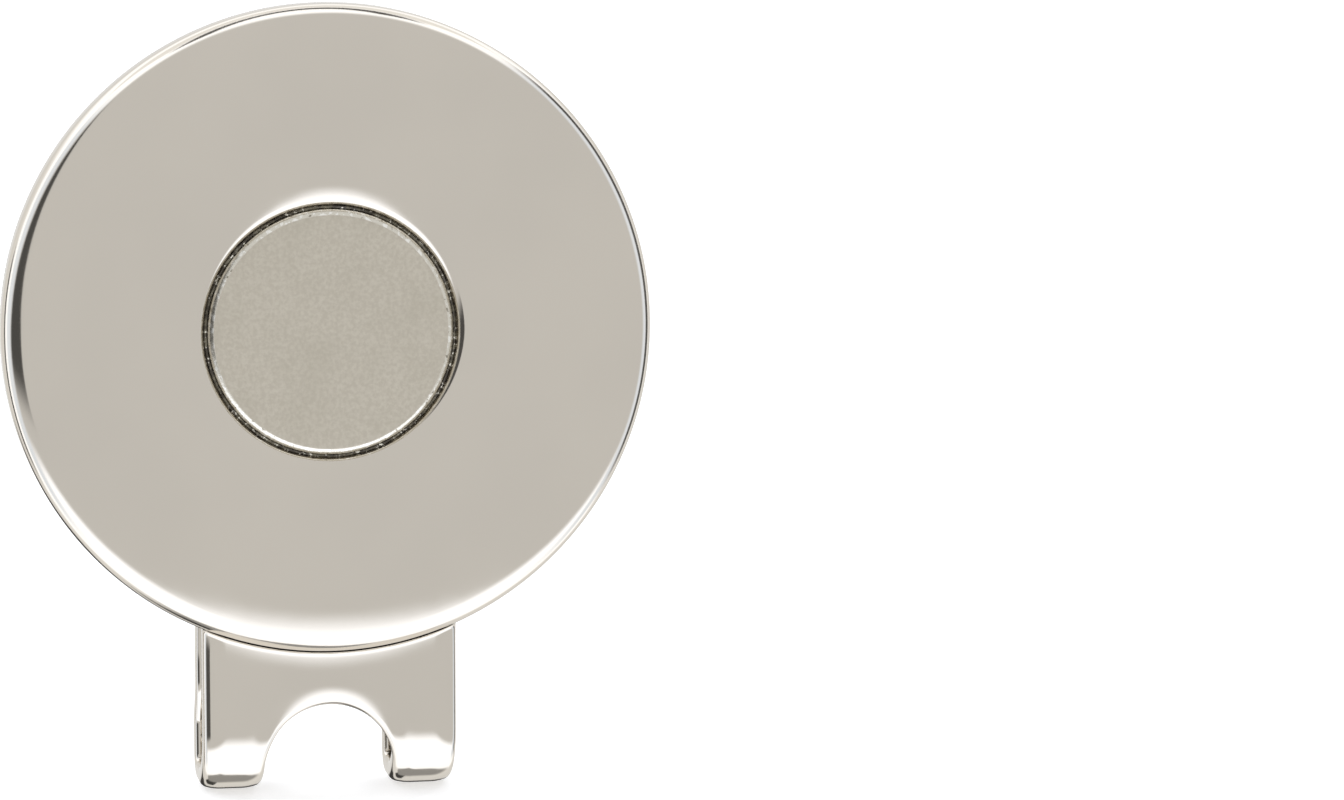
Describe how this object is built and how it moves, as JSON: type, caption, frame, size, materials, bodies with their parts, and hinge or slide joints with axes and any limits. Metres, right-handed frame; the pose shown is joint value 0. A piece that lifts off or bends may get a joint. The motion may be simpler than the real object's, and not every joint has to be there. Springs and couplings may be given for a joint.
{
  "type": "magnetic hat clip",
  "caption": "Round polished plate with a magnet set in its front face and a folded spring clip behind it, for carrying a flat round marker on a hat brim.",
  "frame": {"origin": "middle of the plate's front face, where a marker sits", "axes": "-Y the way the front face looks, +Y towards the clip, +Z from the fold up to the top of the plate, X across the plate"},
  "size_m": [0.0318, 0.007, 0.039],
  "materials": {
    "nickel_plate": "polished",
    "magnet_plate": "satin",
    "adhesive": "satin"
  },
  "bodies": {
    "holder": {"holder_disc": "nickel_plate", "clip_tab": "nickel_plate", "front_leg_left": "nickel_plate", "front_leg_right": "nickel_plate", "magnet": "magnet_plate", "magnet_adhesive": "adhesive"},
    "clip": {"rear_leg_left": "nickel_plate", "rear_leg_right": "nickel_plate", "clip_arm": "nickel_plate", "clip_lip": "nickel_plate"}
  },
  "joints": [
    {"name": "clip_flex", "type": "hinge", "parent": "holder", "child": "clip", "pos_m": [0, 0.00505, -0.0231], "axis": [-1, 0, 0], "range_deg": [0, 8], "stiffness_Nm_per_rad": 1.15}
  ]
}
